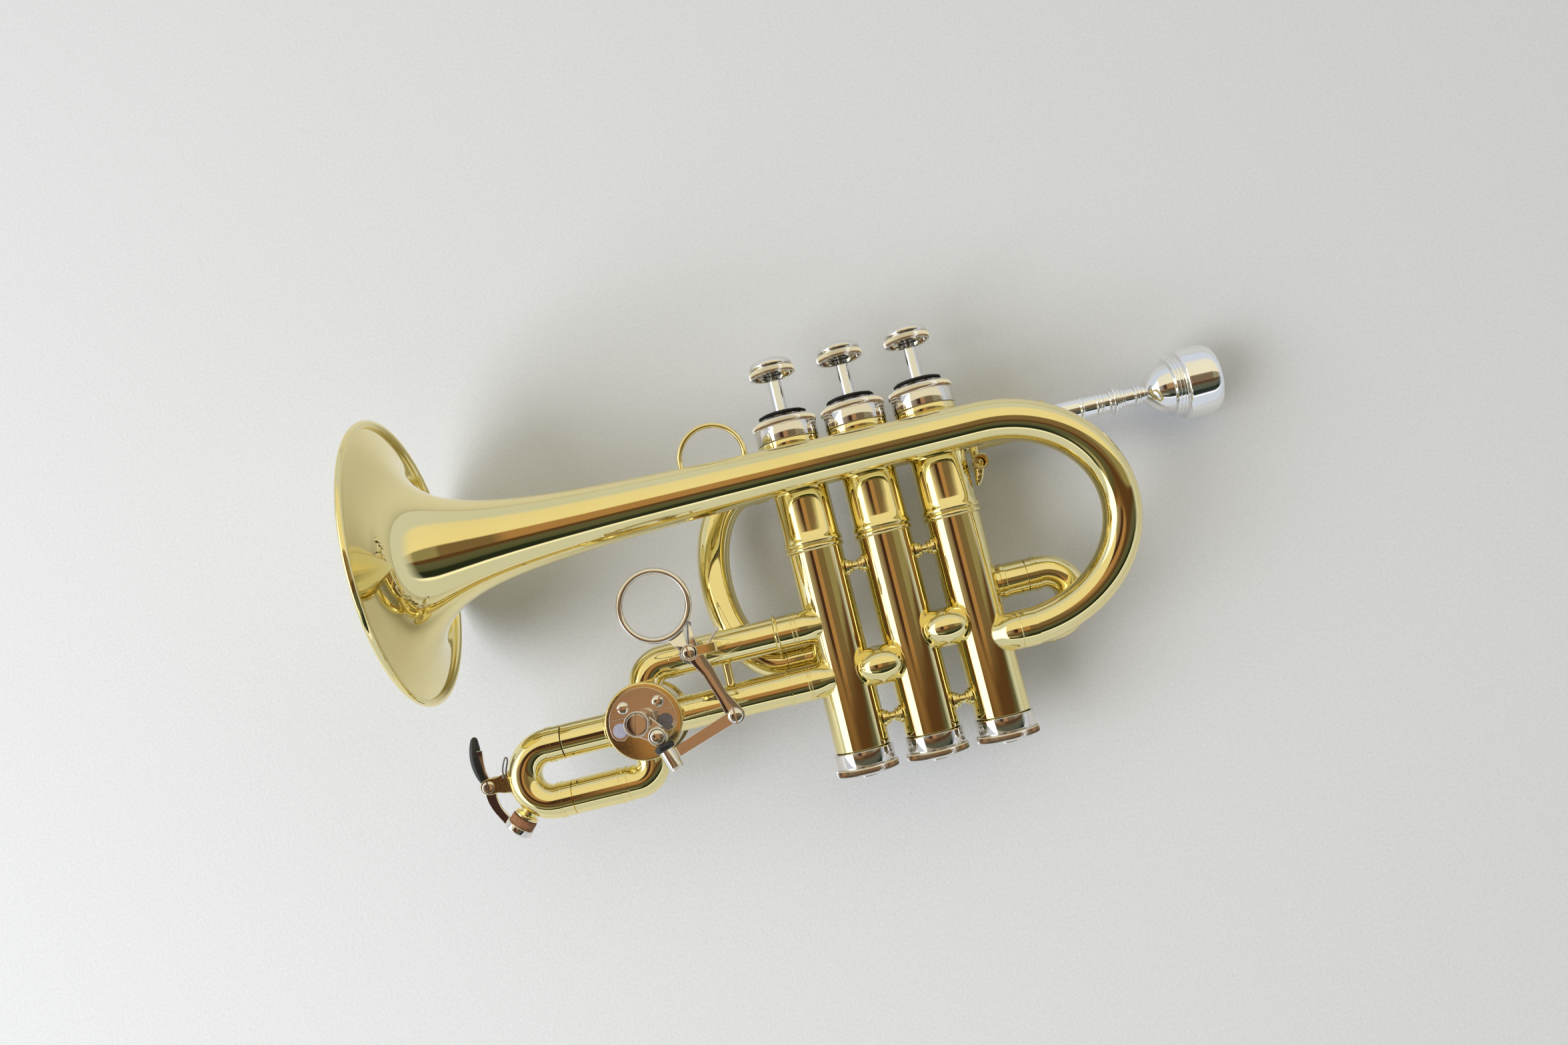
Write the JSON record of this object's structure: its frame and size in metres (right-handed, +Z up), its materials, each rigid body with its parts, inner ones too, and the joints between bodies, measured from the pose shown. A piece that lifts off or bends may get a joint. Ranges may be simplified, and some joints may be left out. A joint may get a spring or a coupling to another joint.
{
  "type": "piccolo trumpet",
  "caption": "Small valved brass trumpet lying on its side: short flared bell, three piston valves, rotary change valve with finger trigger, tuning slides, water key and mouthpiece.",
  "frame": {"origin": "centre of the bounding box's bottom face, on the surface the instrument lies on", "axes": "+Z up, -X out of the bell, +X out of the mouthpiece end, +Y towards the finger buttons"},
  "size_m": [0.2924, 0.1582, 0.1002],
  "materials": {
    "lacquered_brass": "polished, clear lacquer",
    "nickel_plate": "polished nickel plate",
    "silver_plate": "polished silver plate",
    "felt": "black pressed felt",
    "spring_steel": "drawn wire",
    "cork": "natural cork"
  },
  "bodies": {
    "body": {"bell": "lacquered_brass", "bell_bow": "lacquered_brass", "bell_tail_knuckle": "lacquered_brass", "valve_casing_1": "lacquered_brass", "valve_casing_2": "lacquered_brass", "valve_casing_3": "lacquered_brass", "transfer_knuckle_12": "lacquered_brass", "transfer_knuckle_23": "lacquered_brass", "casing_brace_upper_12": "lacquered_brass", "casing_brace_upper_23": "lacquered_brass", "casing_brace_lower_12": "lacquered_brass", "casing_brace_lower_23": "lacquered_brass", "leadpipe": "lacquered_brass", "mouthpiece_receiver": "lacquered_brass", "little_finger_ring": "lacquered_brass", "lyre_socket": "lacquered_brass", "main_slide_leg": "lacquered_brass", "first_slide_tube_upper": "lacquered_brass", "first_slide_tube_lower": "lacquered_brass", "second_slide_tube_upper": "lacquered_brass", "second_slide_tube_lower": "lacquered_brass", "third_branch_upper": "lacquered_brass", "third_branch_lower": "lacquered_brass", "rotor_casing": "lacquered_brass", "rotor_front_cap": "lacquered_brass", "rotor_back_cap": "lacquered_brass", "rotor_slide_tube": "lacquered_brass", "rotor_slide_elbow": "lacquered_brass", "trigger_post": "lacquered_brass", "top_cap_1": "nickel_plate", "top_cap_2": "nickel_plate", "top_cap_3": "nickel_plate", "bottom_cap_1": "nickel_plate", "bottom_cap_2": "nickel_plate", "bottom_cap_3": "nickel_plate", "rotor_bearing_plate": "nickel_plate", "cap_felt_1": "felt", "valve_spring_1": "spring_steel", "cap_felt_2": "felt", "valve_spring_2": "spring_steel", "cap_felt_3": "felt", "valve_spring_3": "spring_steel"},
    "valve_1": {"piston_1": "nickel_plate", "finger_button_1": "nickel_plate"},
    "valve_2": {"piston_2": "nickel_plate", "finger_button_2": "nickel_plate"},
    "valve_3": {"piston_3": "nickel_plate", "finger_button_3": "nickel_plate"},
    "main_slide": {"main_tuning_bow": "lacquered_brass"},
    "first_slide": {"first_slide_bow": "lacquered_brass"},
    "second_slide": {"second_slide_bow": "lacquered_brass"},
    "rotor_slide": {"rotor_slide_bow": "lacquered_brass", "water_key_saddle": "lacquered_brass"},
    "water_key": {"water_key_lever": "nickel_plate", "water_key_cork": "cork"},
    "rotor": {"rotor": "nickel_plate", "stop_arm": "nickel_plate"},
    "trigger": {"trigger_lever": "nickel_plate"},
    "trigger_link": {"trigger_link": "nickel_plate"},
    "mouthpiece": {"mouthpiece": "silver_plate"}
  },
  "joints": [
    {"name": "valve_1_press", "type": "slide", "parent": "body", "child": "valve_1", "axis": [0, -1, 0], "range_m": [0, 0.0128], "stiffness_N_per_m": 120, "springref_m": -0.012, "deforming": ["valve_spring_1"]},
    {"name": "valve_2_press", "type": "slide", "parent": "body", "child": "valve_2", "axis": [0, -1, 0], "range_m": [0, 0.0128], "stiffness_N_per_m": 120, "springref_m": -0.012, "deforming": ["valve_spring_2"]},
    {"name": "valve_3_press", "type": "slide", "parent": "body", "child": "valve_3", "axis": [0, -1, 0], "range_m": [0, 0.0128], "stiffness_N_per_m": 120, "springref_m": -0.012, "deforming": ["valve_spring_3"]},
    {"name": "main_slide_pull", "type": "slide", "parent": "body", "child": "main_slide", "axis": [-1, 0, 0], "range_m": [0, 0.005]},
    {"name": "first_slide_pull", "type": "slide", "parent": "body", "child": "first_slide", "axis": [1, 0, 0], "range_m": [0, 0.008]},
    {"name": "second_slide_pull", "type": "slide", "parent": "body", "child": "second_slide", "axis": [0, 0, -1], "range_m": [0, 0.0025]},
    {"name": "rotor_slide_pull", "type": "slide", "parent": "body", "child": "rotor_slide", "axis": [-1, 0, 0], "range_m": [0, 0.011]},
    {"name": "mouthpiece_pull", "type": "slide", "parent": "body", "child": "mouthpiece", "axis": [1, 0, 0], "range_m": [0, 0.024]},
    {"name": "trigger_pull", "type": "hinge", "parent": "body", "child": "trigger", "pos_m": [-0.05555, -0.0238, 0.0592], "axis": [0, 0, -1], "range_deg": [0, 26.2], "stiffness_Nm_per_rad": 0.08, "springref_deg": -17.19},
    {"name": "rotor_turn", "type": "hinge", "parent": "body", "child": "rotor", "pos_m": [-0.07735, -0.0424, 0.0371], "axis": [0, 0, -1], "range_deg": [0, 90]},
    {"name": "link_swing", "type": "hinge", "parent": "trigger", "child": "trigger_link", "pos_m": [-0.04545, -0.047, 0.0597], "axis": [0, 0, -1], "range_deg": [-23.63, 0]},
    {"name": "water_key_press", "type": "hinge", "parent": "rotor_slide", "child": "water_key", "pos_m": [-0.13535, -0.0521, 0.0371], "axis": [0, 0, -1], "range_deg": [0, 15], "stiffness_Nm_per_rad": 0.03, "springref_deg": -17.19}
  ],
  "couplings": [
    {"joint": "rotor_turn", "follows": "trigger_pull", "ratio": 3.4351},
    {"joint": "link_swing", "follows": "trigger_pull", "ratio": -0.9021}
  ]
}
